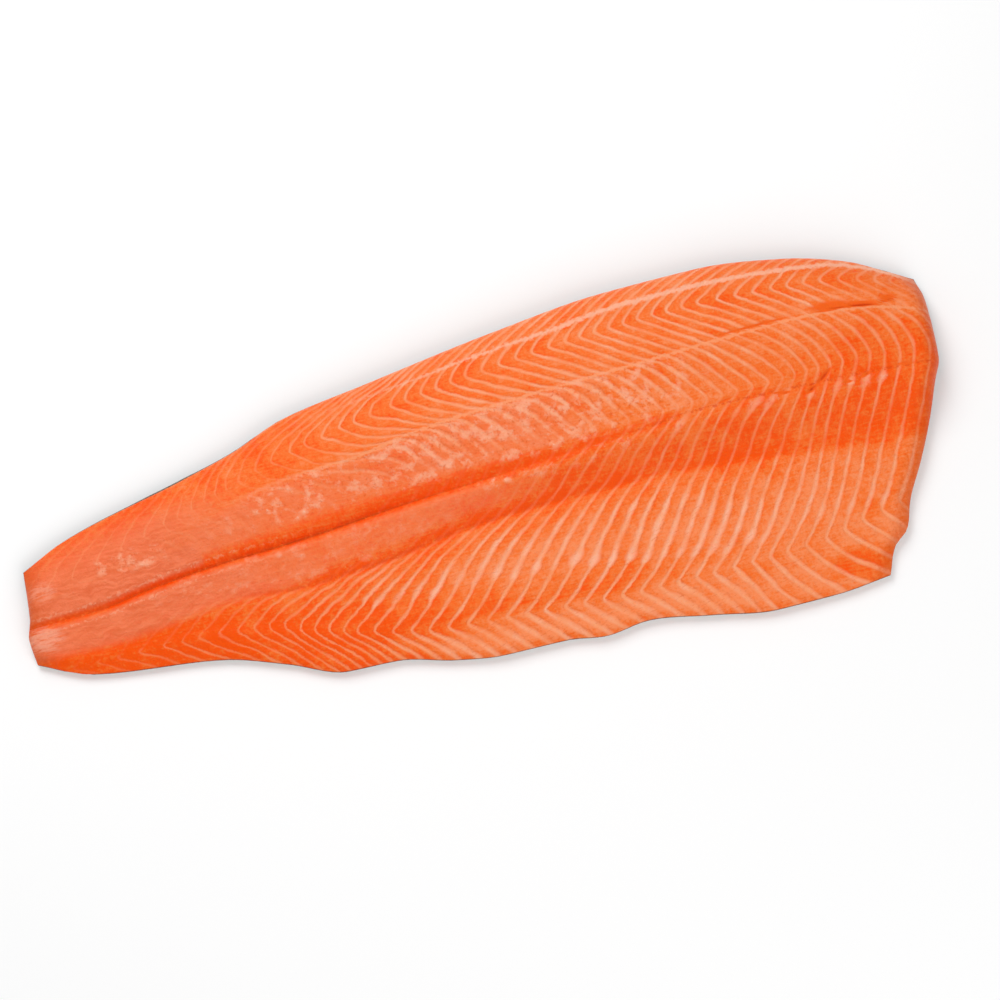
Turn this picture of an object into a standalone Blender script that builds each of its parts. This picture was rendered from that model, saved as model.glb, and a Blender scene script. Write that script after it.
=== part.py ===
"""A raw salmon fillet: one whole side, skin down, tail towards -X and head end towards +X.

The flesh is laid out on a lattice. Its rows run from tail to head along the lines where the
muscle layers turn, and its columns follow the layers themselves, so that each flake is relief
in the solid. Run it in Blender; it leaves one mesh object, fillet, standing on Z = 0.
"""

import bmesh
import bpy
import numpy as np

# The sizes below are in millimetres: x from tail to head, y from belly to back, z up
MM = 0.001

# Outline from above: the two long edges as (x, y), the two ends as (y, x)
BACK_EDGE = [(-285, 24), (-260, 36), (-180, 56.5), (-150, 65), (-115, 78.3), (-60, 87.5),
             (20, 100), (90, 107.8), (150, 109), (200, 103), (240, 91.5), (262, 79.5), (277, 71)]
BELLY_EDGE = [(-288, -31.5), (-260, -44), (-180, -55), (-145, -66.5), (-112, -79), (-82, -80),
              (-48, -88), (-20, -92), (18, -92.3), (42, -95.5), (67, -92.5), (105, -98.5),
              (145, -104.8), (180, -104.5), (214, -101)]
TAIL_END = [(-30, -288.5), (-16, -290), (-4, -287), (24, -285)]
HEAD_END = [(-101, 214), (-85, 221.5), (-77, 231), (-60, 238), (-38, 251), (-15, 263),
            (7, 272.5), (19, 278), (42, 279.5), (58, 280), (70, 277.5)]

# Lines along the fillet where the muscle layers turn, as (x, y), from the back down
UPPER_TURN = [(-285, 4), (-230, 20), (-165, 39), (-131, 50), (-101, 57), (-5, 72), (68, 79),
              (134, 82.5), (211, 79.5), (277, 66)]
LOIN_SEAM = [(-285, 1), (-230, 15), (-140, 35), (-120, 38), (-80, 40), (-40, 46), (0, 49.5),
             (100, 54), (200, 58), (240, 55), (277, 46)]
LOIN_TURN = [(-285, -3), (-200, 7.5), (-100, 18.5), (0, 21.5), (150, 25.5), (240, 29.5), (277, 27)]
CENTRE_GROOVE = [(-288, -11), (-245, -9.5), (-215, -5), (-180, -1), (-120, 2), (-50, 8), (0, 10.5),
                 (90, 15.5), (130, 18.5), (200, 18), (277, 15)]
BELLY_GROOVE = [(-288, -21), (-180, -21.5), (-130, -26), (-80, -23), (-20, -14.5), (30, -11.5),
                (90, -11), (130, -13), (220, -21), (277, -24)]
LOWER_TURN = [(-288, -25), (-250, -28.5), (-209, -34.5), (-150, -42), (-132, -48), (-100, -57),
              (-50, -67), (0, -70), (70, -73.5), (148, -71.5), (183, -68), (208, -62), (277, -48)]

# Layers counted along the lower turn, as (x, number of layers)
LAYER_COUNT = [(-288, -7), (-209, 0), (-149, 6), (-99.5, 12), (-58, 16), (0, 21), (58, 26),
               (114, 31), (171, 36), (220, 40), (280, 45)]

# Heights along the fillet, as (x, z)
CREST_HEIGHT = [(-288, 13), (-200, 19), (-100, 26), (0, 31), (100, 33), (200, 32), (277, 27)]
CENTRE_HEIGHT = [(-288, 11.5), (-180, 17), (-50, 22), (50, 25.5), (150, 27), (277, 23)]
BELLY_GROOVE_HEIGHT = [(-288, 10), (-180, 13.5), (-50, 14), (100, 13.5), (277, 12)]
BELLY_HEIGHT = [(-288, 8.5), (-180, 10.5), (-50, 12.5), (50, 13), (150, 12), (240, 10)]
CENTRE_GROOVE_DEPTH = [(-288, 1.5), (-240, 3.5), (-120, 5), (-20, 4), (40, 2), (80, 1), (277, 0.8)]
BELLY_GROOVE_DEPTH = [(-220, 0.4), (-100, 1.6), (-50, 2.4), (100, 1.2), (277, 0.4)]

CREST_PLACE = 0.46              # from the centre groove towards the back edge
BACK_SHOULDER = 0.70            # height just inside the back edge, of the crest height
BELLY_TAPER = 0.62              # height just inside the belly edge, of the belly height
GROOVE_WIDTH = 6.0              # each way from the groove's line
GROOVE_RUNOUT = 16.0            # the belly groove rises this slowly on its belly side
BACK_RIM, BELLY_RIM = 7.0, 3.6  # height of the widest line above the board
BACK_ROUND, BELLY_ROUND = 20.0, 7.0
HEAD_ROUND, TAIL_ROUND = 13.0, 8.0
SWELL = 0.45                    # slow unevenness of the flesh
FLAKE_RELIEF = 0.45             # how far each seam between flakes lies below them
SMOOTH_BAND = 30.0              # the flakes fade towards the middle of the fillet over this much

# Lattice: rows in each band from the back down, columns for each layer, and columns in each end
BAND_ROWS = [6, 4, 4, 3, 6, 7, 5]
COLUMNS_PER_LAYER = 2
END_SHARES = [0.0, 0.06, 0.25, 0.6, 1.0]
SNAP = 0.8                      # a column this close to an end's first column joins it

MIDDLE_X, MIDDLE_Y = -5.0, 2.0
UNDERSIDE = [(0.35, 0.006, 0.010), (0.0, 0.012, 0.045)]  # share of rim height, inset along x and y

FLESH_COLOUR = (0.930, 0.246, 0.080, 1.0)
FLESH_ROUGHNESS = 0.4


def curve(points):
    """A smooth function through (x, value) points that doesn't overshoot, straight past its ends."""
    x, value = np.array(points, float).T
    gap = np.diff(x)
    rise = np.diff(value) / gap
    slope = np.concatenate([rise[:1], np.zeros(len(x) - 2), rise[-1:]])
    for i in range(1, len(x) - 1):
        if rise[i - 1] * rise[i] > 0:
            before, after = gap[i - 1] + 2 * gap[i], 2 * gap[i - 1] + gap[i]
            slope[i] = (before + after) / (before / rise[i - 1] + after / rise[i])

    def at(place):
        place = np.asarray(place, float)
        i = np.clip(np.searchsorted(x, place) - 1, 0, len(x) - 2)
        inside = np.clip(place, x[0], x[-1])
        t = (inside - x[i]) / gap[i]
        bend = gap[i] * t * (1 - t) * (slope[i] * (1 - t) - slope[i + 1] * t)
        step = value[i] + (value[i + 1] - value[i]) * t * t * (3 - 2 * t)
        past = slope[0] * np.minimum(place - x[0], 0) + slope[-1] * np.maximum(place - x[-1], 0)
        return step + bend + past

    return at


back_edge, belly_edge = curve(BACK_EDGE), curve(BELLY_EDGE)
tail_end, head_end = curve(TAIL_END), curve(HEAD_END)
upper_turn, loin_seam, loin_turn = curve(UPPER_TURN), curve(LOIN_SEAM), curve(LOIN_TURN)
centre_groove, belly_groove = curve(CENTRE_GROOVE), curve(BELLY_GROOVE)
lower_turn = curve(LOWER_TURN)
layer_count = curve(LAYER_COUNT)
BANDS = [back_edge, upper_turn, loin_seam, loin_turn, centre_groove, belly_groove, lower_turn,
         belly_edge]


def along(*points):
    """A slope that changes along the fillet and stays level past its ends."""
    x, value = zip(*points)
    return lambda place: np.interp(place, x, value)


def lean(place, y_back, seam, turn, centre, groove, lower):
    """How far the layers lean, dx/dy, at chosen heights y across the fillet at x = place."""
    middle = 0.5 * (groove + lower)
    return [
        (back_edge(place), along((-110, 2.4), (60, 2.2))(place)),
        (y_back + 10, along((-140, 0.9), (-100, 1.9), (100, 1.8))(place)),
        (y_back + 4, along((-140, 0.5), (-100, 0.85), (0, 1.0), (80, 1.5))(place)),
        (y_back + 1.5, along((0, 0.45), (60, 0.7), (120, 0.9))(place)),
        (y_back - 1.5, along((-100, -0.7), (0, -1.3))(place)),
        (y_back - 5, along((-140, -0.5), (-60, -1.05), (0, -1.45), (60, -1.65))(place)),
        (seam + 5, along((-100, -0.9), (-60, -1.6), (0, -1.8), (120, -1.6))(place)),
        (seam, along((-100, -1.8), (-60, -2.8), (100, -2.8), (150, -1.6))(place)),
        (seam - 5, along((0, -1.1), (100, -1.4))(place)),
        (seam - 13, along((-100, -0.8), (60, -0.75), (180, -1.3), (260, -0.6))(place)),
        (turn + 1, along((60, -0.8), (150, -0.9), (200, -0.6), (240, -0.25))(place)),
        (turn - 3, along((100, 0.9), (140, 1.5), (180, 1.2), (220, 0.5), (260, 0.2))(place)),
        (centre, along((-200, 0.6), (-150, -0.1), (-100, 0.0), (-50, 0.8), (0, 0.9), (60, 1.6),
                       (100, 1.8), (140, 1.5), (220, 0.8), (260, 0.5))(place)),
        (groove + 10, along((-200, 1.6), (-150, 0.8), (-100, 0.7), (-50, 1.3), (20, 1.2), (100, 0.8),
                            (140, 0.6), (260, 0.5))(place)),
        (groove, along((-150, 2.2), (-20, 2.0), (100, 1.3), (140, 0.9), (250, 0.55))(place)),
        (groove - 9, along((-150, 1.1), (-20, 1.6), (60, 1.1), (140, 0.8), (220, 0.6))(place)),
        (groove - 17, along((-150, 1.1), (20, 1.0), (140, 0.65), (250, 0.55))(place)),
        (middle - 6, along((-150, 1.0), (-60, 0.7), (150, 0.65), (180, 0.8), (250, 0.6))(place)),
        (lower + 10, along((-150, 0.9), (180, 0.95), (220, 0.7))(place)),
        (lower + 4, along((-180, 0.6), (-100, 1.05), (60, 1.2), (220, 0.8))(place)),
        (lower - 0.7, along((-150, 0.7), (0, 1.4), (200, 1.0))(place)),
        (lower - 3.3, along((-209, -1.6), (-150, -0.9), (-60, -1.6), (60, -0.9), (180, -0.35),
                            (210, 0.2))(place)),
        (lower - 9, along((-209, -2.0), (-60, -1.6), (-20, -1.2), (100, -1.1), (140, -0.6),
                          (210, 0.2))(place)),
        (belly_edge(place), along((-209, -2.2), (-60, -0.9), (60, -1.3), (140, -0.5), (210, 0.0))(place)),
    ]


def layer(x, y):
    """Which muscle layer is at (x, y). It is a whole number on each seam between two layers."""
    lower = lower_turn(x)
    knots = lean(x, upper_turn(x), loin_seam(x), loin_turn(x), centre_groove(x), belly_groove(x),
                 lower)
    shift = np.zeros(np.shape(x))
    top, top_lean = knots[0]
    for next_top, next_lean in knots[1:]:
        bottom = np.minimum(next_top, top - 0.3)
        for height, sign in ((y, 1.0), (lower, -1.0)):
            share = np.clip((height - bottom) / (top - bottom), 0, 1)
            area = next_lean * share + 0.5 * (top_lean - next_lean) * share ** 2
            shift = shift + sign * (top - bottom) * area
        top, top_lean = bottom, next_lean
    return layer_count(x - shift)


def rounded(distance, radius):
    """Rises from 0 at an edge to 1 at a radius from it, as a quarter circle does."""
    left = 1 - np.clip(distance / radius, 0, 1)
    return np.sqrt(np.maximum(1 - left * left, 0))


def groove_cut(distance, depth, runout=GROOVE_WIDTH):
    """A V groove with soft lips. It can run out more slowly on its belly side."""
    width = np.where(distance < 0, runout, GROOVE_WIDTH)
    return depth * np.clip(1 - np.abs(distance) / width, 0, 1) ** 1.5


def across(y, *knots):
    """Smooth height between (y, z) knots that are given from the back down."""
    height = knots[0][1] + 0 * y
    for (high, z_high), (low, z_low) in zip(knots[:-1], knots[1:]):
        t = np.clip((high - y) / (high - low), 0, 1)
        height = height + (z_low - z_high) * t * t * (3 - 2 * t)
    return height


def rim_height(x, y):
    """Height of the widest line: higher along the back than along the belly."""
    share = np.clip((y - belly_edge(x)) / (back_edge(x) - belly_edge(x)), 0, 1)
    return BELLY_RIM + (BACK_RIM - BELLY_RIM) * share


def height(x, y):
    """The top of the flesh at (x, y), before the flakes."""
    back, belly, centre, hollow = back_edge(x), belly_edge(x), centre_groove(x), belly_groove(x)
    crest = centre + CREST_PLACE * (back - centre)
    crest_z, belly_z = curve(CREST_HEIGHT)(x), curve(BELLY_HEIGHT)(x)
    z = across(y,
               (back, BACK_SHOULDER * crest_z),
               (crest, crest_z),
               (centre, curve(CENTRE_HEIGHT)(x)),
               (hollow, curve(BELLY_GROOVE_HEIGHT)(x)),
               (0.5 * (hollow + belly), belly_z),
               (belly, BELLY_TAPER * belly_z))
    z = z - groove_cut(y - centre, curve(CENTRE_GROOVE_DEPTH)(x))
    z = z - groove_cut(y - hollow, curve(BELLY_GROOVE_DEPTH)(x), GROOVE_RUNOUT)
    z = z + SWELL * np.sin(x / 31 + 0.8 * np.sin(y / 23)) * np.cos(y / 17 + x / 90)
    rim = rim_height(x, y)
    fall = rounded(back - y, BACK_ROUND) * rounded(y - belly, BELLY_ROUND)
    fall = fall * rounded(head_end(y) - x, HEAD_ROUND) * rounded(x - tail_end(y), TAIL_ROUND)
    return rim + (z - rim) * fall


def flake_strength(x, y):
    """How far the flakes stand out: less along the middle, and nothing at the long edges."""
    middle = 0.5 * (loin_turn(x) + belly_groove(x))
    inland = rounded(np.minimum(back_edge(x) - y, y - belly_edge(x)), BELLY_ROUND)
    return inland * np.clip(np.abs(y - middle) / SMOOTH_BAND, 0, 1) ** 2


def row_line(band, share):
    """The y of a lattice row as a function of x, part of the way down one band."""
    upper, lower = BANDS[band], BANDS[band + 1]
    return lambda x: (1 - share) * upper(x) + share * lower(x)


def row_lines():
    """Every lattice row, closer together towards the two long edges."""
    lines = [back_edge]
    for band, count in enumerate(BAND_ROWS):
        for step in range(1, count + 1):
            share = step / count
            if band == 0:
                share = share ** 1.8
            if band == len(BAND_ROWS) - 1:
                share = 1 - (1 - share) ** 1.6
            lines.append(row_line(band, share))
    return lines


def end_of_row(line, end, x):
    """Where a row meets an end of the fillet."""
    for _ in range(30):
        x = 0.5 * (x + end(line(x)))
    return float(x)


def row_columns(line, columns):
    """The x of each lattice column along one row, and which columns fall together."""
    shares = np.array(END_SHARES)
    tail = end_of_row(line, tail_end, TAIL_END[0][1])
    head = end_of_row(line, head_end, HEAD_END[0][1])
    x = np.linspace(tail + TAIL_ROUND, head - HEAD_ROUND, 2400)
    inner = np.interp(columns, np.maximum.accumulate(layer(x, line(x))), x)
    inner[inner < x[0] + SNAP] = x[0]
    inner[inner > x[-1] - SNAP] = x[-1]
    return np.concatenate([tail + TAIL_ROUND * shares, inner, head - HEAD_ROUND * shares[::-1]])


def flesh_lattice():
    """Points of the upper side, and for each row the number of the point at each column."""
    lines = row_lines()
    ends = [layer(np.array([tail_end(0.0), head_end(0.0)]), np.full(2, y)) for y in (-60, 0, 60)]
    first, last = np.floor(np.min(ends)) - 4, np.ceil(np.max(ends)) + 8
    columns = np.arange(first * COLUMNS_PER_LAYER, last * COLUMNS_PER_LAYER + 1) / COLUMNS_PER_LAYER
    points, numbers = [], []
    for line in lines:
        x = row_columns(line, columns)
        fresh = np.concatenate([[True], np.diff(x) > 1e-6])
        numbers.append(len(points) + np.cumsum(fresh) - 1)
        x = x[fresh]
        y = line(x)
        seam = np.abs(layer(x, y) - np.round(layer(x, y))) * 2
        z = height(x, y) - FLAKE_RELIEF * (1 - seam) * flake_strength(x, y)
        points.extend(zip(x, y, z))
    return points, numbers


def outline_numbers(numbers):
    """The points of the widest line, in order round the fillet."""
    loop = list(numbers[0]) + [row[-1] for row in numbers[1:-1]]
    loop += list(numbers[-1][::-1]) + [row[0] for row in numbers[-2:0:-1]]
    return [n for i, n in enumerate(loop) if n != loop[i - 1]]


def under_ring(points, outline, rim_share, inset_x, inset_y):
    """The widest line again, lower down and drawn in towards the middle."""
    ring = []
    for number in outline:
        x, y, z = points[number]
        ring.append((x + (MIDDLE_X - x) * inset_x, y + (MIDDLE_Y - y) * inset_y, z * rim_share))
    return ring


def flesh_material():
    """Raw salmon flesh."""
    material = bpy.data.materials.new("salmon flesh")
    material.use_nodes = True
    shader = material.node_tree.nodes["Principled BSDF"]
    shader.inputs["Base Color"].default_value = FLESH_COLOUR
    shader.inputs["Roughness"].default_value = FLESH_ROUGHNESS
    shader.inputs["Metallic"].default_value = 0.0
    material.diffuse_color = FLESH_COLOUR
    return material


def build_fillet():
    """The whole fillet as one closed mesh, centred over the origin."""
    points, numbers = flesh_lattice()
    mesh = bmesh.new()
    verts = [mesh.verts.new(point) for point in points]
    for upper, lower in zip(numbers[:-1], numbers[1:]):
        for i in range(len(upper) - 1):
            corners = dict.fromkeys([upper[i], lower[i], lower[i + 1], upper[i + 1]])
            if len(corners) > 2:
                mesh.faces.new([verts[n] for n in corners])
    outline = outline_numbers(numbers)
    above = [verts[n] for n in outline]
    for rim_share, inset_x, inset_y in UNDERSIDE:
        below = [mesh.verts.new(p) for p in under_ring(points, outline, rim_share, inset_x, inset_y)]
        for i in range(len(above)):
            mesh.faces.new([above[i - 1], above[i], below[i], below[i - 1]])
        above = below
    mesh.faces.new(above)
    bmesh.ops.recalc_face_normals(mesh, faces=mesh.faces)
    bmesh.ops.triangulate(mesh, faces=[f for f in mesh.faces if len(f.verts) == 4])
    bmesh.ops.scale(mesh, vec=(MM, MM, MM), verts=mesh.verts)
    place = np.array([v.co for v in mesh.verts])
    middle = 0.5 * (place.min(axis=0) + place.max(axis=0))
    bmesh.ops.translate(mesh, vec=(-middle[0], -middle[1], 0.0), verts=mesh.verts)
    return mesh


def main():
    for old in list(bpy.data.objects):
        bpy.data.objects.remove(old)
    mesh = bpy.data.meshes.new("fillet")
    build_fillet().to_mesh(mesh)
    mesh.materials.append(flesh_material())
    fillet = bpy.data.objects.new("fillet", mesh)
    bpy.context.scene.collection.objects.link(fillet)


main()
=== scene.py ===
"""Looks of the raw salmon fillet: fine flesh with its layers, fat lines and moist surface, and skin.

The flesh is one mesh on a lattice that follows the muscle layers, as the solid is. It carries the
layer count and the strength of each feature as attributes, and the material draws from these.
"""

from functools import reduce
from types import SimpleNamespace

import bpy
import numpy as np
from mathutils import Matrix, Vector

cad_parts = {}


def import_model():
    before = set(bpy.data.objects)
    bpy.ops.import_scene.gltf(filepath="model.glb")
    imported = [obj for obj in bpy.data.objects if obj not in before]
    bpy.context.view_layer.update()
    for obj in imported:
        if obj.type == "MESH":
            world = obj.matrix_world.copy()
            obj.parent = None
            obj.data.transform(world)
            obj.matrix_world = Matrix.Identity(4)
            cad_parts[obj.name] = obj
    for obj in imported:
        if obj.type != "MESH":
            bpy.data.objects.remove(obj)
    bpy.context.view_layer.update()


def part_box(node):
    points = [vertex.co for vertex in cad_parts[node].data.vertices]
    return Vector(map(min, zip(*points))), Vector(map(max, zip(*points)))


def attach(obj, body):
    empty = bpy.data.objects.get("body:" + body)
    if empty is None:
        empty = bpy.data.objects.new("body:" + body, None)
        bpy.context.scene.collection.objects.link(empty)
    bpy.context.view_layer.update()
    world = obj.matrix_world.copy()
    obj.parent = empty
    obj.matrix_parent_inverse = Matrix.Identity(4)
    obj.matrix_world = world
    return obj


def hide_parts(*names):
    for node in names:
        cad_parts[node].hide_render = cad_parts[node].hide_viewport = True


# The sizes below are in millimetres: x from tail to head, y from belly to back, z up
MM = 0.001

# Outline from above: the two long edges as (x, y), the two ends as (y, x)
BACK_EDGE = [(-285, 24), (-260, 36), (-180, 56.5), (-150, 65), (-115, 78.3), (-60, 87.5),
             (20, 100), (90, 107.8), (150, 109), (200, 103), (240, 91.5), (262, 79.5), (277, 71)]
BELLY_EDGE = [(-288, -31.5), (-260, -44), (-180, -55), (-145, -66.5), (-112, -79), (-82, -80),
              (-48, -88), (-20, -92), (18, -92.3), (42, -95.5), (67, -92.5), (105, -98.5),
              (145, -104.8), (180, -104.5), (214, -101)]
TAIL_END = [(-30, -288.5), (-16, -290), (-4, -287), (24, -285)]
HEAD_END = [(-101, 214), (-85, 221.5), (-77, 231), (-60, 238), (-38, 251), (-15, 263),
            (7, 272.5), (19, 278), (42, 279.5), (58, 280), (70, 277.5)]
OUTLINE_MIDDLE = np.array([0.5 * (min(x for _, x in TAIL_END) + max(x for _, x in HEAD_END)),
                           0.5 * (min(y for _, y in BELLY_EDGE) + max(y for _, y in BACK_EDGE)), 0.0])

# Lines along the fillet where the muscle layers turn, as (x, y), from the back down
BACK_STREAK = [(-285, 22), (-200, 46), (-120, 68.5), (-60, 76.5), (-30, 79.5), (0, 83.5), (50, 88),
               (100, 93.5), (140, 94.5), (200, 92), (225, 89.5), (250, 82), (277, 68)]
UPPER_TURN = [(-285, 4), (-230, 20), (-165, 39), (-131, 50), (-101, 57), (-5, 72), (68, 79),
              (134, 82.5), (211, 79.5), (277, 66)]
LOIN_SEAM = [(-285, 1), (-230, 15), (-140, 35), (-120, 38), (-80, 40), (-40, 46), (0, 49.5),
             (100, 54), (200, 58), (240, 55), (277, 46)]
LOIN_TURN = [(-285, -3), (-200, 7.5), (-100, 18.5), (0, 21.5), (150, 25.5), (240, 29.5), (277, 27)]
CENTRE_GROOVE = [(-288, -11), (-245, -9.5), (-215, -5), (-180, -1), (-120, 2), (-50, 8), (0, 10.5),
                 (90, 15.5), (130, 18.5), (200, 18), (277, 15)]
BELLY_GROOVE = [(-288, -21), (-180, -21.5), (-130, -26), (-80, -23), (-20, -14.5), (30, -11.5),
                (90, -11), (130, -13), (220, -21), (277, -24)]
LOWER_TURN = [(-288, -25), (-250, -28.5), (-209, -34.5), (-150, -42), (-132, -48), (-100, -57),
              (-50, -67), (0, -70), (70, -73.5), (148, -71.5), (183, -68), (208, -62), (277, -48)]

# Layers counted along the lower turn, as (x, number of layers)
LAYER_COUNT = [(-288, -7), (-209, 0), (-149, 6), (-99.5, 12), (-58, 16), (0, 21), (58, 26),
               (114, 31), (171, 36), (220, 40), (280, 45)]

# Heights along the fillet, as (x, z)
CREST_HEIGHT = [(-288, 13), (-200, 19), (-100, 26), (0, 31), (100, 33), (200, 32), (277, 27)]
CENTRE_HEIGHT = [(-288, 11.5), (-180, 17), (-50, 22), (50, 25.5), (150, 27), (277, 23)]
BELLY_GROOVE_HEIGHT = [(-288, 10), (-180, 13.5), (-50, 14), (100, 13.5), (277, 12)]
BELLY_HEIGHT = [(-288, 8.5), (-180, 10.5), (-50, 12.5), (50, 13), (150, 12), (240, 10)]
CENTRE_GROOVE_DEPTH = [(-288, 1.5), (-240, 3.5), (-120, 5), (-20, 4), (40, 2), (80, 1), (277, 0.8)]
BELLY_GROOVE_DEPTH = [(-220, 0.4), (-100, 1.6), (-50, 2.4), (100, 1.2), (277, 0.4)]

CREST_PLACE = 0.46              # from the centre groove towards the back edge
BACK_SHOULDER = 0.70            # height just inside the back edge, of the crest height
BELLY_TAPER = 0.62              # height just inside the belly edge, of the belly height
GROOVE_WIDTH = 6.0              # each way from the groove's line
GROOVE_RUNOUT = 16.0            # the belly groove rises this slowly on its belly side
BACK_RIM, BELLY_RIM = 7.0, 3.6  # height of the widest line above the board
BACK_ROUND, BELLY_ROUND = 20.0, 7.0
HEAD_ROUND, TAIL_ROUND = 13.0, 8.0
SWELL = 0.45                    # slow unevenness of the flesh

# Lattice of the flesh: rows in each band from the back down, and columns within each layer
BAND_ROWS = [27, 20, 20, 12, 28, 34, 20]
LAYER_COLUMNS = [0.0, 0.06, 0.13, 0.22, 0.35, 0.5, 0.65, 0.78, 0.87, 0.94]
END_SHARES = [0.0, 0.015, 0.06, 0.13, 0.25, 0.4, 0.6, 0.8, 1.0]
EDGE_CROWDING = 1.6             # rows lie closer together towards the long edges by this power
SNAP = 0.25                     # a column this close to an end's first column joins it
TAIL_CORNER = (-290.0, 60.0)    # past the tail's back corner, where the layer count is low
SPARE_LAYERS = 4                # columns start this many layers below the count there
LAYERS_END = 56                 # columns end at this count, past the head end
LEAST_STEP = 1e-6               # columns of one row that are closer than this are one point

# Relief of the flesh
FLAKE_CROWN = 0.32              # how far a flake swells between two fat lines
LINE_SINK = 0.22                # how far a fat line lies below the flakes beside it
CRUMB = 0.16                    # fine unevenness
SLOW_RELIEF = 0.3               # wider unevenness
SEAM_DEPTH = 0.5                # of the seam along the loin
FILM_LIFT = 0.5                 # how far the film stands above bare flesh
CRACKS = [                      # x, y of one end, x, y of the other, half width, depth
    (191, 13.5, 199, 17.5, 1.4, 1.6), (199, 17.5, 209, 25, 1.5, 1.6), (172, 18.5, 184, 16, 0.9, 1.2),
    (214, 15.5, 220, 15, 1.2, 1.2), (224, 15.5, 233, 18, 1.1, 1.1), (203, 62, 232, 61, 3.4, 0.7),
    (220, 60, 247, 57.5, 1.8, 0.9), (248, 59, 260, 59.5, 2.4, 0.65), (146, 59, 203, 61, 0.7, 0.7),
    (106, 14, 112, 16, 0.8, 0.9), (138, 20, 147, 21.5, 0.8, 0.9), (244, 18.5, 262, 17, 0.8, 0.8),
    (206, 59.5, 232, 58.5, 0.8, 1.5), (228, 58.5, 247, 56, 0.9, 1.7), (247, 56.5, 260, 58, 0.8, 1.3),
]

# Rings below the flesh's widest line: share of its height, and drawn in along and across
FLESH_RINGS = [(0.75, 0.0008, 0.002), (0.45, 0.004, 0.010), (0.2, 0.009, 0.024)]
MIDDLE_RUN = 560.0              # the line they are drawn in to rises over this length

# The skin under the flesh
SKIN_THICKNESS = 0.8
SKIN_PROUD = 0.35               # the skin stands out this far past the flesh's edge
SKIN_LIP = 0.55                 # the skin's cut edge, as a share of the rim's height
SKIN_SHOWN = 0.6                # it stands out this much further where it shows from above
SKIN_SHOWN_LIP = 0.94           # the cut edge there, as a share of the rim's height
SKIN_ROWS = [10, 5, 5, 3, 7, 8, 9]
SKIN_COLUMNS = np.arange(-16, LAYERS_END, 0.5)  # two in each layer
SKIN_FLAT = (0.012, 0.045)      # how far the flat underside is drawn in, along and across
SKIN_FOOT = 0.1                 # least height of a ring
SKIN_RINGS = [                  # share of the lip's height, drawn in along and across, how far out
    (0.06, 0.0088, 0.030, 0.0), (0.30, 0.0035, 0.012, 0.0), (0.62, 0.0, 0.0, 0.7),
    (1.0, 0.0, 0.0, 1.0), (1.02, 0.0, 0.0, 0.3), (0.8, 0.0, 0.0, -1.6), (0.3, 0.006, 0.02, -1.6),
]

# Lights as (place, size, power), in metres and watts, and the even light all round
KEY_LIGHT = ((-0.35, 1.1, 1.2), 0.9, 15.0)
FILL_LIGHT = ((0.4, -1.4, 1.1), 1.4, 13.0)
SURROUND_LIGHT = 0.47
FLOOR_HALF_SIDE, FLOOR_DROP = 6.0, 0.0002

# Camera
CAMERA_AZIMUTH, CAMERA_HEIGHT = -14.0, 78.0     # degrees: from the -Y side towards -X, and up
CAMERA_DISTANCE, CAMERA_LENS = 1.333, 80.0
CAMERA_AIM = (0.0050, -0.0021, 0.0)


def curve(points):
    """A smooth function through (x, value) points that doesn't overshoot, straight past its ends."""
    x, value = np.array(points, float).T
    gap = np.diff(x)
    rise = np.diff(value) / gap
    slope = np.concatenate([rise[:1], np.zeros(len(x) - 2), rise[-1:]])
    for i in range(1, len(x) - 1):
        if rise[i - 1] * rise[i] > 0:
            before, after = gap[i - 1] + 2 * gap[i], 2 * gap[i - 1] + gap[i]
            slope[i] = (before + after) / (before / rise[i - 1] + after / rise[i])

    def at(place):
        place = np.asarray(place, float)
        i = np.clip(np.searchsorted(x, place) - 1, 0, len(x) - 2)
        inside = np.clip(place, x[0], x[-1])
        t = (inside - x[i]) / gap[i]
        bend = gap[i] * t * (1 - t) * (slope[i] * (1 - t) - slope[i + 1] * t)
        step = value[i] + (value[i + 1] - value[i]) * t * t * (3 - 2 * t)
        past = slope[0] * np.minimum(place - x[0], 0) + slope[-1] * np.maximum(place - x[-1], 0)
        return step + bend + past

    return at


back_edge, belly_edge = curve(BACK_EDGE), curve(BELLY_EDGE)
tail_end, head_end = curve(TAIL_END), curve(HEAD_END)
back_streak, upper_turn = curve(BACK_STREAK), curve(UPPER_TURN)
loin_seam, loin_turn = curve(LOIN_SEAM), curve(LOIN_TURN)
centre_groove, belly_groove = curve(CENTRE_GROOVE), curve(BELLY_GROOVE)
lower_turn = curve(LOWER_TURN)
layer_count = curve(LAYER_COUNT)
BANDS = [back_edge, upper_turn, loin_seam, loin_turn, centre_groove, belly_groove, lower_turn,
         belly_edge]


def along(*points):
    """A value that changes along the fillet and stays level past its ends."""
    x, value = zip(*points)
    return lambda place: np.interp(place, x, value)


def knots(place, *rows):
    """For rows given as y and then (x, value) points along it, each row's y and value at x = place."""
    return [(y, along(*points)(place)) for y, *points in rows]


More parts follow.
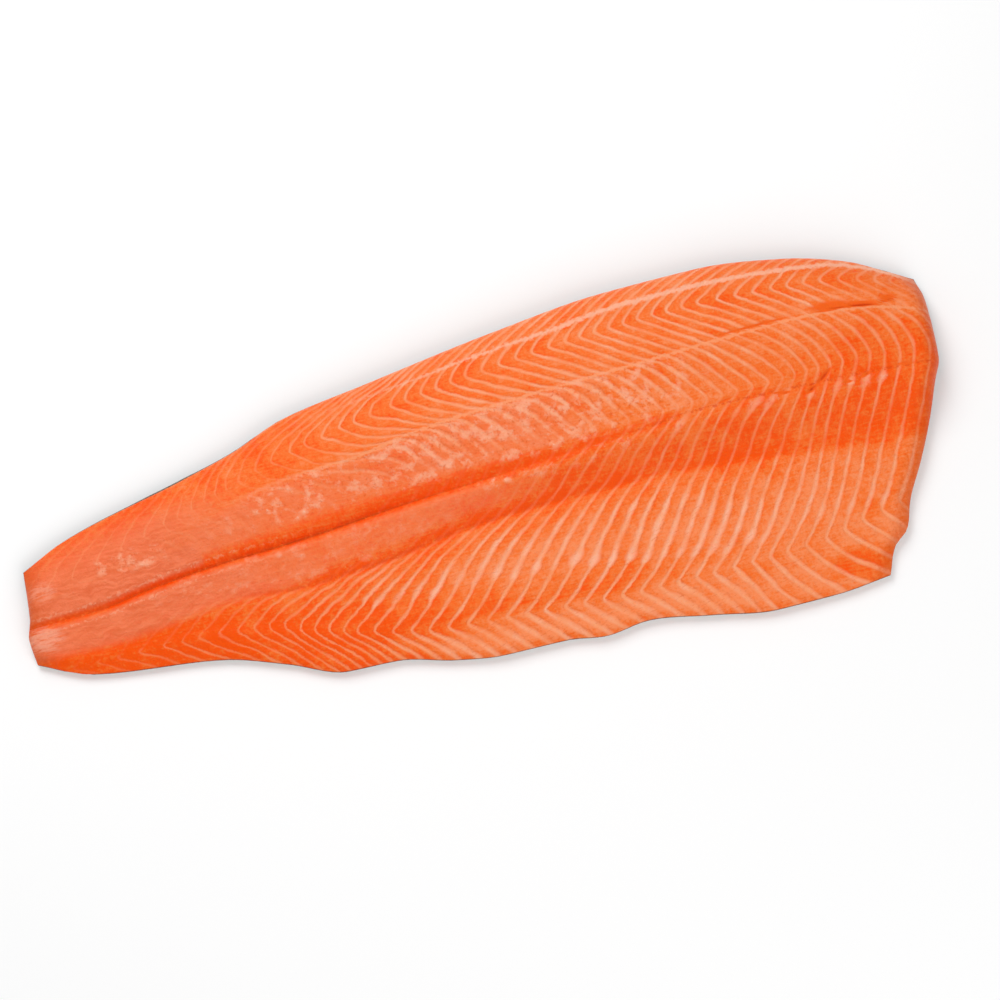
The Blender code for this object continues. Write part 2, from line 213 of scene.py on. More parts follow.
def lean(place, back, upper, seam, turn, centre, groove, lower, belly):
    """How far the layers lean, dx/dy, at chosen heights y across the fillet at x = place."""
    middle = 0.5 * (groove + lower)
    return knots(
        place,
        (back, (-110, 2.4), (60, 2.2)),
        (upper + 10, (-140, 0.9), (-100, 1.9), (100, 1.8)),
        (upper + 4, (-140, 0.5), (-100, 0.85), (0, 1.0), (80, 1.5)),
        (upper + 1.5, (0, 0.45), (60, 0.7), (120, 0.9)),
        (upper - 1.5, (-100, -0.7), (0, -1.3)),
        (upper - 5, (-140, -0.5), (-60, -1.05), (0, -1.45), (60, -1.65)),
        (seam + 5, (-100, -0.9), (-60, -1.6), (0, -1.8), (120, -1.6)),
        (seam, (-100, -1.8), (-60, -2.8), (100, -2.8), (150, -1.6)),
        (seam - 5, (0, -1.1), (100, -1.4)),
        (seam - 13, (-100, -0.8), (60, -0.75), (180, -1.3), (260, -0.6)),
        (turn + 1, (60, -0.8), (150, -0.9), (200, -0.6), (240, -0.25)),
        (turn - 3, (100, 0.9), (140, 1.5), (180, 1.2), (220, 0.5), (260, 0.2)),
        (centre, (-200, 0.6), (-150, -0.1), (-100, 0.0), (-50, 0.8), (0, 0.9), (60, 1.6),
         (100, 1.8), (140, 1.5), (220, 0.8), (260, 0.5)),
        (groove + 10, (-200, 1.6), (-150, 0.8), (-100, 0.7), (-50, 1.3), (20, 1.2), (100, 0.8),
         (140, 0.6), (260, 0.5)),
        (groove, (-150, 2.2), (-20, 2.0), (100, 1.3), (140, 0.9), (250, 0.55)),
        (groove - 9, (-150, 1.1), (-20, 1.6), (60, 1.1), (140, 0.8), (220, 0.6)),
        (groove - 17, (-150, 1.1), (20, 1.0), (140, 0.65), (250, 0.55)),
        (middle - 6, (-150, 1.0), (-60, 0.7), (150, 0.65), (180, 0.8), (250, 0.6)),
        (lower + 10, (-150, 0.9), (180, 0.95), (220, 0.7)),
        (lower + 4, (-180, 0.4), (-130, 0.7), (-100, 1.05), (60, 1.2), (220, 0.8)),
        (lower - 0.7, (-180, -0.1), (-130, 0.3), (-80, 0.9), (0, 1.4), (200, 1.0)),
        (lower - 3.3, (-209, -1.0), (-150, -0.9), (-60, -1.6), (60, -0.9), (180, -0.4)),
        (lower - 9, (-60, -1.6), (-20, -1.2), (100, -1.1), (140, -0.6), (210, -0.8)),
        (belly, (-209, -1.9), (-60, -0.9), (60, -1.3), (140, -0.7), (210, -1.1)))


def layer(x, y):
    """Which muscle layer is at (x, y). It is a whole number on each seam between two layers."""
    lower = lower_turn(x)
    leans = lean(x, *[line(x) for line in BANDS])
    shift = np.zeros(np.shape(x))
    top, top_lean = leans[0]
    for next_top, next_lean in leans[1:]:
        bottom = np.minimum(next_top, top - 0.3)
        for height_at, sign in ((y, 1.0), (lower, -1.0)):
            share = np.clip((height_at - bottom) / (top - bottom), 0, 1)
            area = next_lean * share + 0.5 * (top_lean - next_lean) * share ** 2
            shift = shift + sign * (top - bottom) * area
        top, top_lean = bottom, next_lean
    return layer_count(x - shift)


def rounded(distance, radius):
    """Rises from 0 at an edge to 1 at a radius from it, as a quarter circle does."""
    left = 1 - np.clip(distance / radius, 0, 1)
    return np.sqrt(np.maximum(1 - left * left, 0))


def groove_cut(distance, depth, runout=GROOVE_WIDTH):
    """A V groove with soft lips. It can run out more slowly on its belly side."""
    width = np.where(distance < 0, runout, GROOVE_WIDTH)
    return depth * np.clip(1 - np.abs(distance) / width, 0, 1) ** 1.5


def smooth(value, low, high):
    """Goes smoothly from 0 at low to 1 at high."""
    t = np.clip((value - low) / (high - low), 0, 1)
    return t * t * (3 - 2 * t)


def across(y, *rows):
    """A smooth value between (y, value) rows that are given from the back down."""
    high, value_high = rows[0]
    value = value_high + 0 * y
    for low, value_low in rows[1:]:
        low = np.minimum(low, high - 0.5)
        t = np.clip((high - y) / (high - low), 0, 1)
        value = value + (value_low - value_high) * t * t * (3 - 2 * t)
        high, value_high = low, value_low
    return value


def rim_height(x, y):
    """Height of the widest line: higher along the back than along the belly."""
    share = np.clip((y - belly_edge(x)) / (back_edge(x) - belly_edge(x)), 0, 1)
    return BELLY_RIM + (BACK_RIM - BELLY_RIM) * share


def height(x, y):
    """The top of the flesh at (x, y), before its fine relief."""
    back, belly, centre, hollow = back_edge(x), belly_edge(x), centre_groove(x), belly_groove(x)
    crest = centre + CREST_PLACE * (back - centre)
    crest_z, belly_z = curve(CREST_HEIGHT)(x), curve(BELLY_HEIGHT)(x)
    z = across(y,
               (back, BACK_SHOULDER * crest_z),
               (crest, crest_z),
               (centre, curve(CENTRE_HEIGHT)(x)),
               (hollow, curve(BELLY_GROOVE_HEIGHT)(x)),
               (0.5 * (hollow + belly), belly_z),
               (belly, BELLY_TAPER * belly_z))
    z = z - groove_cut(y - centre, curve(CENTRE_GROOVE_DEPTH)(x))
    z = z - groove_cut(y - hollow, curve(BELLY_GROOVE_DEPTH)(x), GROOVE_RUNOUT)
    z = z + SWELL * np.sin(x / 31 + 0.8 * np.sin(y / 23)) * np.cos(y / 17 + x / 90)
    rim = rim_height(x, y)
    fall = rounded(back - y, BACK_ROUND) * rounded(y - belly, BELLY_ROUND)
    fall = fall * rounded(head_end(y) - x, HEAD_ROUND) * rounded(x - tail_end(y), TAIL_ROUND)
    return rim + (z - rim) * fall


def noise(x, y, size, seed):
    """Smooth noise between -1 and 1, in patches about this many millimetres across."""
    table = np.random.default_rng(seed).uniform(-1, 1, (64, 64))
    i, j = np.floor(x / size).astype(int), np.floor(y / size).astype(int)
    s, t = x / size - i, y / size - j
    s, t = s * s * (3 - 2 * s), t * t * (3 - 2 * t)
    low = (1 - s) * table[i % 64, j % 64] + s * table[(i + 1) % 64, j % 64]
    high = (1 - s) * table[i % 64, (j + 1) % 64] + s * table[(i + 1) % 64, (j + 1) % 64]
    return (1 - t) * low + t * high


def patch(x, y, middle_x, middle_y, half_x, half_y):
    """1 in the middle of an oval patch, fading to 0 at its edge."""
    far = np.hypot((x - middle_x) / half_x, (y - middle_y) / half_y)
    return 1 - smooth(far, 0.3, 1.0)


def crack_at(x, y):
    """How deep the cracks and creases cut, in millimetres."""
    deep = np.zeros(np.shape(x))
    for x0, y0, x1, y1, half, depth in CRACKS:
        run = np.hypot(x1 - x0, y1 - y0)
        t = np.clip(((x - x0) * (x1 - x0) + (y - y0) * (y1 - y0)) / run ** 2, 0, 1)
        away = np.hypot(x - x0 - t * (x1 - x0), y - y0 - t * (y1 - y0))
        taper = 0.35 + 0.65 * np.sin(np.pi * t)
        deep = np.maximum(deep, depth * taper * np.clip(1 - away / (half * (0.4 + taper)), 0, 1))
    return deep


def rows_at(x):
    """The y of each line along the fillet at x."""
    return SimpleNamespace(
        back=back_edge(x), streak=back_streak(x), upper=upper_turn(x), seam=loin_seam(x),
        turn=loin_turn(x), centre=centre_groove(x), hollow=belly_groove(x), lower=lower_turn(x),
        belly=belly_edge(x))


def layers_found(x, y):
    """The layer count with its natural unevenness, and how many millimetres one layer takes."""
    step = 0.5
    across_x = (layer(x + step, y) - layer(x - step, y)) / (2 * step)
    across_y = (layer(x, y + step) - layer(x, y - step)) / (2 * step)
    gap = 1 / np.maximum(np.hypot(across_x, across_y), 0.02)
    wander = 0.45 * noise(x, y, 14, 3) + 0.32 * noise(x, y, 5.5, 4) + 0.14 * noise(x, y, 2.4, 11)
    wander = wander * along((-150, 2.2), (-40, 1.0))(x)
    return layer(x, y) + wander / np.minimum(gap, 12), gap


def line_strength(x, y, row):
    """How clearly the fat lines show, from 0 to about 1."""
    return across(y, *knots(
        x,
        (row.back, (-240, 0.1), (-170, 0.2), (-110, 0.4), (-60, 0.5), (60, 0.65)),
        (row.upper, (-150, 0.3), (-110, 0.5), (-60, 0.75), (215, 0.75), (240, 0.35)),
        (row.seam + 8, (-240, 0.15), (-140, 0.12), (-110, 0.35), (-60, 0.75), (205, 0.75),
         (235, 0.3)),
        (row.seam - 8, (-220, 0.1), (-140, 0.12), (-100, 0.35), (-60, 0.75), (0, 0.9),
         (150, 0.85), (200, 0.6)),
        (row.turn + 4, (-200, 0.08), (-100, 0.15), (0, 0.35), (80, 0.5), (140, 0.65), (200, 0.5)),
        (row.turn - 3, (-100, 0.03), (0, 0.05), (60, 0.12), (120, 0.4)),
        (row.centre + 3, (-100, 0.05), (60, 0.12), (130, 0.3), (200, 0.35), (250, 0.4)),
        (row.centre - 4, (-200, 0.08), (0, 0.05), (50, 0.3), (90, 0.45), (200, 0.5)),
        (row.hollow + 3, (-20, 0.08), (40, 0.3)),
        (row.hollow - 5, (-240, 0.05), (-180, 0.18), (-120, 0.6), (120, 0.6), (200, 0.75)),
        (row.hollow - 16, (-240, 0.05), (-180, 0.2), (-120, 0.62), (-60, 0.75), (0, 0.85),
         (100, 0.9), (150, 0.75)),
        (row.lower + 10, (-240, 0.05), (-200, 0.3), (-140, 0.6), (-60, 0.75), (0, 0.85),
         (100, 0.9), (150, 0.75)),
        (row.lower - 5, (-270, 0.1), (-230, 0.3), (-200, 0.4), (-120, 0.55), (-40, 0.75),
         (0, 0.85)),
        (row.belly, (-270, 0.1), (-230, 0.3), (-150, 0.45), (0, 0.75))))


def belly_stroke(x, y, row, found):
    """Where a belly line is a thick stroke of fat, and where the stroke swells at its lower end."""
    number = 12 * np.round(found)
    bottom = along((-120, -44), (-60, -47), (0, -49), (40, -51), (80, -60), (140, -63), (200, -56))(x)
    bottom = bottom + 4 * noise(number, 0 * x, 7, 5)
    share = smooth(row.hollow - 2 - y, 0, 22) * smooth(y, bottom - 2.0, bottom)
    share = share * along((-160, 0.1), (-110, 0.4), (-60, 0.7), (0, 1.0), (120, 1.0), (165, 0.5),
                          (250, 0.3))(x)
    blunt = np.exp(-((y - bottom - 3.0) / 2.8) ** 2) * (0.55 + 0.45 * noise(number, 0 * x, 5, 21))
    return share * (0.85 + 0.35 * noise(number, y, 8, 12)), blunt * share


def line_half_width(x, y, row, stroke, blunt, cusp):
    """Half of a fat line's width in millimetres."""
    plain = across(y, *knots(
        x,
        (row.back, (0, 0.65)),
        (row.upper + 4, (-180, 0.4), (-100, 0.5), (0, 0.66)),
        (row.seam + 5, (-110, 0.45), (0, 0.75)),
        (row.seam + 1, (-110, 0.4), (0, 0.55)),
        (row.seam - 8, (-60, 0.85), (-20, 1.1), (60, 1.15), (130, 0.85)),
        (row.centre, (0, 0.6)),
        (row.hollow, (0, 0.65)),
        (row.lower, (-130, 0.45), (-50, 0.7)),
        (row.lower - 10, (-130, 0.4), (-80, 0.6), (-45, 1.2), (60, 1.4), (180, 0.9)),
        (row.belly, (-110, 0.5), (-50, 1.0))))
    plain = plain + 0.5 * stroke + 0.75 * blunt + 1.1 * cusp
    return plain * (1 + 0.22 * noise(x, y, 3.2, 2) + 0.12 * noise(x, y, 9, 1))


def flesh_shade(x, y, row):
    """How pale the flesh is between the lines, from 0 to 1: its own tone, and painted shade that makes
    it deeper in the bands just above the two grooves, where the slopes turn from the light.
    """
    loin_top, loin = 0.5 * (row.upper + row.seam), 0.5 * (row.seam + row.turn)
    flap = 0.5 * (row.hollow + row.lower)
    plain = across(y, *knots(
        x,
        (row.back, (-200, 0.25), (-100, 0.35)),
        (row.streak + 3, (-200, 0.15), (-100, 0.3), (40, 0.5)),
        (row.upper, (-100, 0.3), (-30, 0.25), (40, 0.4)),
        (loin_top, (-60, 0.4), (40, 0.55)),
        (row.seam, (-200, 0.45), (-60, 0.6), (100, 0.7), (150, 0.55)),
        (loin, (-200, 0.55), (-60, 0.5), (120, 0.65), (180, 0.55), (277, 0.15)),
        (row.turn - 2, (-60, 0.45), (20, 0.75), (90, 0.75), (150, 0.5), (277, 0.2)),
        # painted shade: the band just above the centre groove is deeper
        (row.centre + 7, (-260, 0.25), (-140, 0.0), (-20, -0.05), (40, 0.3), (120, 0.35),
         (277, 0.2)),
        (row.centre + 1, (-260, 0.0), (40, -0.1), (120, 0.3), (277, 0.15)),
        (row.centre - 5, (-260, 0.35), (-20, 0.5), (60, 0.35), (120, 0.2), (277, 0.15)),
        (row.hollow + 10, (-60, 0.4), (40, 0.1), (277, 0.05)),
        # painted shade: the band just above the belly groove is deeper
        (row.hollow + 2, (-260, 0.35), (-120, -0.1), (0, -0.25), (160, -0.05), (277, 0.2)),
        (row.hollow - 4, (-260, 0.3), (-120, 0.15), (0, 0.45), (277, 0.6)),
        (flap, (-260, 0.05), (-160, 0.0), (-80, 0.3), (0, 0.85), (277, 0.75)),
        (row.lower + 13, (-260, -0.1), (-120, 0.0), (0, 0.4), (140, 0.8), (277, 0.75)),
        (row.lower + 4, (-120, -0.1), (0, 0.1), (100, 0.5), (140, 0.75)),
        (row.lower - 3, (-120, -0.15), (-60, 0.2), (0, 0.6), (277, 0.8)),
        (row.belly + 6, (-120, -0.1), (-60, 0.6), (-40, 1.0), (277, 0.95)),
        (row.belly, (-120, 0.0), (0, 0.5))))
    plain = plain - 0.9 * patch(x, y, 198, -90, 30, 14) - 0.4 * patch(x, y, 212, -60, 9, 10)
    return plain + 0.15 * noise(x, y, 26, 6) + 0.15 * noise(x, y, 9, 1)


def film_share(x, y, row):
    """1 under the thin smooth film of the tail and of the ridge between the grooves."""
    tail = smooth(y, row.centre + 1, row.centre + 4) * (1 - smooth(y, row.turn + 3, row.turn + 10))
    tail = tail * (1 - smooth(x + 0.06 * (y - 6) ** 2, -181, -177))
    reach = along((-230, -13), (-150, -3), (-100, 4))(x)
    ridge = smooth(row.centre - y, 1, 5) * smooth(y - row.hollow, reach, reach + 8)
    ridge = ridge * (1 - smooth(x, -30, 50))
    top = row.upper + along((-240, 30), (-160, 12))(x)
    spread = smooth(y, row.centre + 2, row.centre + 10) * (1 - smooth(y, row.seam + 2, top))
    spread = spread * (1 - smooth(x, -210, -130))
    loin = smooth(y, row.centre + 4, row.turn - 1) * (1 - smooth(y, row.seam - 6, row.seam + 3))
    loin = loin * (1 - smooth(x, 20, 90))
    return np.maximum.reduce([tail, 0.8 * ridge, 0.8 * spread, 0.7 * loin])


def fleck_share(x, y, row, cusp):
    """How many whitish flecks there are, from 0 to 1."""
    loin = smooth(row.seam - y, -3, 2) * smooth(y - row.turn, -10, 2)
    loin = loin * along((-185, 0.1), (-130, 0.5), (-60, 0.9), (20, 0.9), (70, 0.7), (120, 0.35),
                        (160, 0.0))(x)
    ridge = 0.35 * smooth(row.centre - y, -1, 2) * smooth(y - row.hollow, 0, 6)
    ridge = ridge * along((-240, 0.0), (-190, 1.0), (-60, 0.7), (0, 0.2))(x)
    tail = 0.7 * patch(x, y, -222, 14, 36, 10)
    heads = 0.5 * smooth(row.centre - y, -1, 2) * (1 - smooth(row.centre - y, 4, 13))
    heads = heads * along((-50, 0.0), (0, 1.0), (80, 1.0), (115, 0.0))(x)
    return np.maximum.reduce([loin, ridge, heads, 0.6 * cusp, tail])


def pattern(x, y):
    """Everything that the flesh shows at (x, y), by name."""
    row = rows_at(x)
    found, gap = layers_found(x, y)
    number = 12 * np.round(found)
    beaded = smooth(noise(number, 0.3 * y, 7, 13), -0.3, 0.6)
    cusp = beaded * np.exp(-((y - row.centre + 4) / 3.6) ** 2) * smooth(x, 85, 125)
    stroke, blunt = belly_stroke(x, y, row, found)
    strength = line_strength(x, y, row) * (1 + 0.3 * noise(x, y, 9, 14) + 0.2 * noise(number, y, 6, 15))
    fatness = (along((-130, 0.0), (-60, 0.25))(x) + 0.45 * stroke + 0.6 * blunt + 0.5 * cusp
               + 0.3 * noise(x, y, 9, 16))
    return SimpleNamespace(
        layer=found, gap=gap, strength=np.clip(strength, 0, 1.1),
        half=line_half_width(x, y, row, stroke, blunt, cusp), fatness=np.clip(fatness, 0, 1),
        shade=flesh_shade(x, y, row), film=film_share(x, y, row),
        fleck=fleck_share(x, y, row, cusp),
        scar=np.maximum(patch(x, y, -280, -19, 17, 12), 0.7 * patch(x, y, -275, 8, 14, 9)),
        crack=crack_at(x, y), streak=y - row.streak, seam=y - row.seam, centre=y - row.centre,
        hollow=y - row.hollow, head=head_end(y) - x, tail=x - tail_end(y))


def relief(x, y, show):
    """Fine relief of the flesh in millimetres."""
    nearest = np.abs(show.layer - np.round(show.layer))
    away = nearest * show.gap
    crown = FLAKE_CROWN * (1 - (1 - 2 * nearest) ** 2) * np.clip(show.strength, 0.15, 1)
    sink = LINE_SINK * np.exp(-(away / (1.2 * show.half)) ** 2) * np.clip(show.strength, 0, 1)
    crumb = CRUMB * (noise(x, y, 3.2, 2) + noise(x, y, 1.7, 7)) * (0.5 + 1.2 * show.fleck)
    slow = SLOW_RELIEF * noise(x, y, 18, 8)
    seam = SEAM_DEPTH * np.exp(-((show.seam - 1.5) / 1.6) ** 2) * smooth(x, -100, 0)
    inland = rounded(np.minimum(back_edge(x) - y, y - belly_edge(x)), BELLY_ROUND)
    return (crown - sink + crumb + slow - seam - show.crack + FILM_LIFT * show.film) * inland


def row_line(band, share):
    """The y of a lattice row as a function of x, part of the way down one band."""
    upper, lower = BANDS[band], BANDS[band + 1]
    return lambda x: (1 - share) * upper(x) + share * lower(x)


def row_lines(counts):
    """Every lattice row, closer together towards the two long edges."""
    lines = [back_edge]
    for band, count in enumerate(counts):
        for step in range(1, count + 1):
            share = step / count
            if band == 0:
                share = share ** EDGE_CROWDING
            if band == len(counts) - 1:
                share = 1 - (1 - share) ** EDGE_CROWDING
            lines.append(row_line(band, share))
    return lines


def end_of_row(line, end, x):
    """Where a row meets an end of the fillet."""
    for _ in range(30):
        x = 0.5 * (x + end(line(x)))
    return float(x)


def row_columns(line, columns):
    """The x of each lattice column along one row."""
    shares = np.array(END_SHARES)
    tail = end_of_row(line, tail_end, TAIL_END[0][1])
    head = end_of_row(line, head_end, HEAD_END[0][1])
    x = np.linspace(tail + TAIL_ROUND, head - HEAD_ROUND, 2400)
    inner = np.interp(columns, np.maximum.accumulate(layer(x, line(x))), x)
    inner[inner < x[0] + SNAP] = x[0]
    inner[inner > x[-1] - SNAP] = x[-1]
    return np.concatenate([tail + TAIL_ROUND * shares, inner, head - HEAD_ROUND * shares[::-1]])


def lattice(lines, columns):
    """x and y of the lattice's points, and for each row the number of the point at each column."""
    xs, ys, numbers, count = [], [], [], 0
    for line in lines:
        x = row_columns(line, columns)
        fresh = np.concatenate([[True], np.diff(x) > LEAST_STEP])
        numbers.append(count + np.cumsum(fresh) - 1)
        xs.append(x[fresh])
        ys.append(line(x[fresh]))
        count += int(fresh.sum())
    return np.concatenate(xs), np.concatenate(ys), numbers


def lattice_faces(numbers):
    """Faces between each row and the next."""
    faces = []
    for upper, lower in zip(numbers[:-1], numbers[1:]):
        upper, lower = upper.tolist(), lower.tolist()
        for i in range(len(upper) - 1):
            corners = list(dict.fromkeys([upper[i], lower[i], lower[i + 1], upper[i + 1]]))
            if len(corners) > 2:
                faces.append(corners)
    return faces


def outline_numbers(numbers):
    """The points of the widest line, in order round the fillet."""
    loop = list(numbers[0]) + [row[-1] for row in numbers[1:-1]]
    loop += list(numbers[-1][::-1]) + [row[0] for row in numbers[-2:0:-1]]
    return np.array([n for i, n in enumerate(loop) if n != loop[i - 1]])


def ring_faces(outline, count, rings):
    """Faces from the outline down through rings of points that are numbered from count on."""
    size, faces, above = len(outline), [], outline.tolist()
    for ring in range(rings):
        below = list(range(count + ring * size, count + (ring + 1) * size))
        faces += [[above[i - 1], above[i], below[i], below[i - 1]] for i in range(size)]
        above = below
    return faces, above


def drawn_in(x, y, inset_x, inset_y):
    """Points drawn in towards the middle of the fillet, by shares of their distance from it."""
    middle_x = 0.5 * (TAIL_END[0][1] + HEAD_END[-1][1])
    middle_y = 0.5 * (back_edge(middle_x) + belly_edge(middle_x)) * (x - TAIL_END[0][1]) / MIDDLE_RUN
    return x + (middle_x - x) * inset_x, y + (middle_y - y) * inset_y


def make_piece(name, points, faces, vectors, middle):
    """A smooth mesh object with vector attributes, moved from the drawing's place to the frame's."""
    mesh = bpy.data.meshes.new(name)
    mesh.from_pydata(((points - OUTLINE_MIDDLE) * MM + middle).tolist(), [], faces)
    for attribute, values in vectors.items():
        made = mesh.attributes.new(attribute, "FLOAT_VECTOR", "POINT")
        made.data.foreach_set("vector", np.stack(values, axis=1).astype(np.float32).ravel())
    mesh.shade_smooth()
    mesh.update()
    piece = bpy.data.objects.new(name, mesh)
    bpy.context.scene.collection.objects.link(piece)
    return piece


def build_flesh(middle):
    """The flesh: its upper side, its rounded edge, and a flat underside inside the skin."""
    first = np.floor(layer(*np.array(TAIL_CORNER))) - SPARE_LAYERS
    columns = np.array([n + part for n in np.arange(first, LAYERS_END) for part in LAYER_COLUMNS])
    x, y, numbers = lattice(row_lines(BAND_ROWS), columns)
    show = pattern(x, y)
    z = height(x, y) + relief(x, y, show)
    faces = lattice_faces(numbers)
    outline = outline_numbers(numbers)
    points = [np.stack([x, y, z], axis=1)]
    for share, inset_x, inset_y in FLESH_RINGS:
        ring_x, ring_y = drawn_in(x[outline], y[outline], inset_x, inset_y)
        ring_z = np.maximum(z[outline] * share, SKIN_THICKNESS)
        points.append(np.stack([ring_x, ring_y, ring_z], axis=1))
    edge_faces, foot = ring_faces(outline, len(x), len(FLESH_RINGS))
    faces += [face[::-1] for face in edge_faces] + [foot]
    source = np.concatenate([np.arange(len(x))] + [outline] * len(FLESH_RINGS))
    vectors = {
        "layers": (show.layer, show.gap, show.strength),
        "lines": (show.half, show.fatness, show.shade),
        "rows": (show.streak, show.seam, show.centre),
        "spots": (show.film, show.fleck, show.scar),
        "place": (x, y, show.crack),
        "borders": (show.hollow, show.head, show.tail),
    }
    vectors = {name: [values[source] for values in three] for name, three in vectors.items()}
    return make_piece("flesh", np.concatenate(points), faces, vectors, middle)


def skin_shown(x):
    """How far the skin shows beyond the back edge from above, from 0 to 1."""
    return along((-265, 0.1), (-235, 0.6), (-205, 1.0), (-178, 1.0), (-150, 0.5), (-100, 0.35),
                 (150, 0.35), (215, 0.6), (262, 1.0), (277, 0.5))(x)


def skin_edge(x, y):
    """At points of the outline: how far it is the back's side, how far the skin shows from above,
    the height of its lip, and the direction out of the fillet."""
    number = 2.0 * np.arange(len(x))
    wave = 0.5 * noise(number, 0.0 * number, 17, 9) + 0.25 * noise(number, 0.0 * number, 5, 10)
    back_side = smooth((y - belly_edge(x)) / (back_edge(x) - belly_edge(x)), 0.4, 0.9)
    shown = skin_shown(x) * back_side
    lip = rim_height(x, y) * np.maximum(SKIN_LIP + 0.25 * back_side, SKIN_SHOWN_LIP * shown)
    step_x, step_y = x - np.roll(x, 2), y - np.roll(y, 2)
    step_x, step_y = step_x + np.roll(step_x, -2), step_y + np.roll(step_y, -2)
    length = np.maximum(np.sqrt(step_x ** 2 + step_y ** 2), 1e-6)
    return back_side, shown, lip + wave * (1 - shown), -step_y / length, step_x / length


def build_skin(middle):
    """The skin: a thin shell under the flesh that turns up round its edge."""
    x, y, numbers = lattice(row_lines(SKIN_ROWS), SKIN_COLUMNS)
    outline = outline_numbers(numbers)
    back_side, shown, lip, out_x, out_y = skin_edge(x[outline], y[outline])
    flat_x, flat_y = drawn_in(x, y, *SKIN_FLAT)
    points = [np.stack([flat_x, flat_y, 0 * x], axis=1)]
    face_x, face_y, cut = [flat_x], [flat_y], [0 * x]
    for share, inset_x, inset_y, proud in SKIN_RINGS:
        ring_x, ring_y = drawn_in(x[outline], y[outline], inset_x, inset_y)
        side = (SKIN_PROUD * (0.1 + 0.9 * back_side) + SKIN_SHOWN * shown) * proud
        points.append(np.stack([ring_x + out_x * side, ring_y + out_y * side,
                                np.maximum(lip * share, SKIN_FOOT)], axis=1))
        face_x.append(ring_x + out_x * lip * share)
        face_y.append(ring_y + out_y * lip * share)
        cut.append(0 * ring_x + max(0.0, share - 0.8) * 5.0 + (proud < 0))
    faces = [face[::-1] for face in lattice_faces(numbers)]
    faces += ring_faces(outline, len(x), len(SKIN_RINGS))[0]
    source = np.concatenate([np.arange(len(x))] + [outline] * len(SKIN_RINGS))
    down = (back_edge(x) - y) / (back_edge(x) - belly_edge(x))
    cut = np.clip(np.concatenate(cut), 0, 1)
    vectors = {
        "place": (np.concatenate(face_x), np.concatenate(face_y), down[source]),
        "border": (cut, cut, cut),
    }
    return make_piece("skin", np.concatenate(points), faces, vectors, middle)


def colour(red, green, blue):
    """A colour given as a screen shows it, from 0 to 255, for a shader."""
    share = np.array([red, green, blue]) / 255
    linear = np.where(share <= 0.04045, share / 12.92, ((share + 0.055) / 1.055) ** 2.4)
    return (*[float(v) for v in linear], 1.0)


# Colours of the flesh
# DEEP is the flesh's deepest orange, also reached where shade is painted above the grooves
DEEP = colour(253, 84, 0)
PLAIN = colour(251, 117, 44)
PALE = colour(254, 144, 90)
FAT = colour(255, 160, 110)
WHITE_FAT = colour(255, 186, 154)
FILM = colour(249, 124, 84)
TAIL_FILM = colour(233, 108, 64)
TAIL_PLY = colour(248, 130, 88)
STRAND = colour(250, 166, 136)
# painted shade towards the cut ends
END_SHADE = colour(214, 84, 22)
# whitish flecks of fat, and the painted highlight on the groove's lips
FLECK_AND_HIGHLIGHT = colour(255, 174, 138)
# painted highlight of the glints
GLINT = colour(255, 212, 190)
# painted shade in the deepest cracks and along the crease
CRACK_SHADE = colour(226, 72, 10)
# deep orange-red for the painted shade in the grooves
GROOVE_SHADE = colour(232, 78, 14)
# deeper orange for the painted shadow beside the fat lines, and for the dark specks and scratch marks
SHADOW_AND_MARKS = colour(222, 92, 30)
OPENED = colour(250, 102, 26)

# Colours of the skin
SKIN_BACK = colour(52, 62, 68)
SKIN_FLANK = colour(142, 150, 152)
SKIN_BELLY = colour(214, 214, 208)
SKIN_SPOT = colour(26, 30, 32)
LATERAL_LINE = colour(84, 92, 96)
SCALE_EDGE = colour(70, 76, 80)
# painted sheen of the scales
SHEEN = colour(226, 230, 232)
SKIN_EDGE = colour(120, 104, 90)
BELLY_RIND = colour(196, 104, 60)

FLOOR = colour(254, 254, 254)


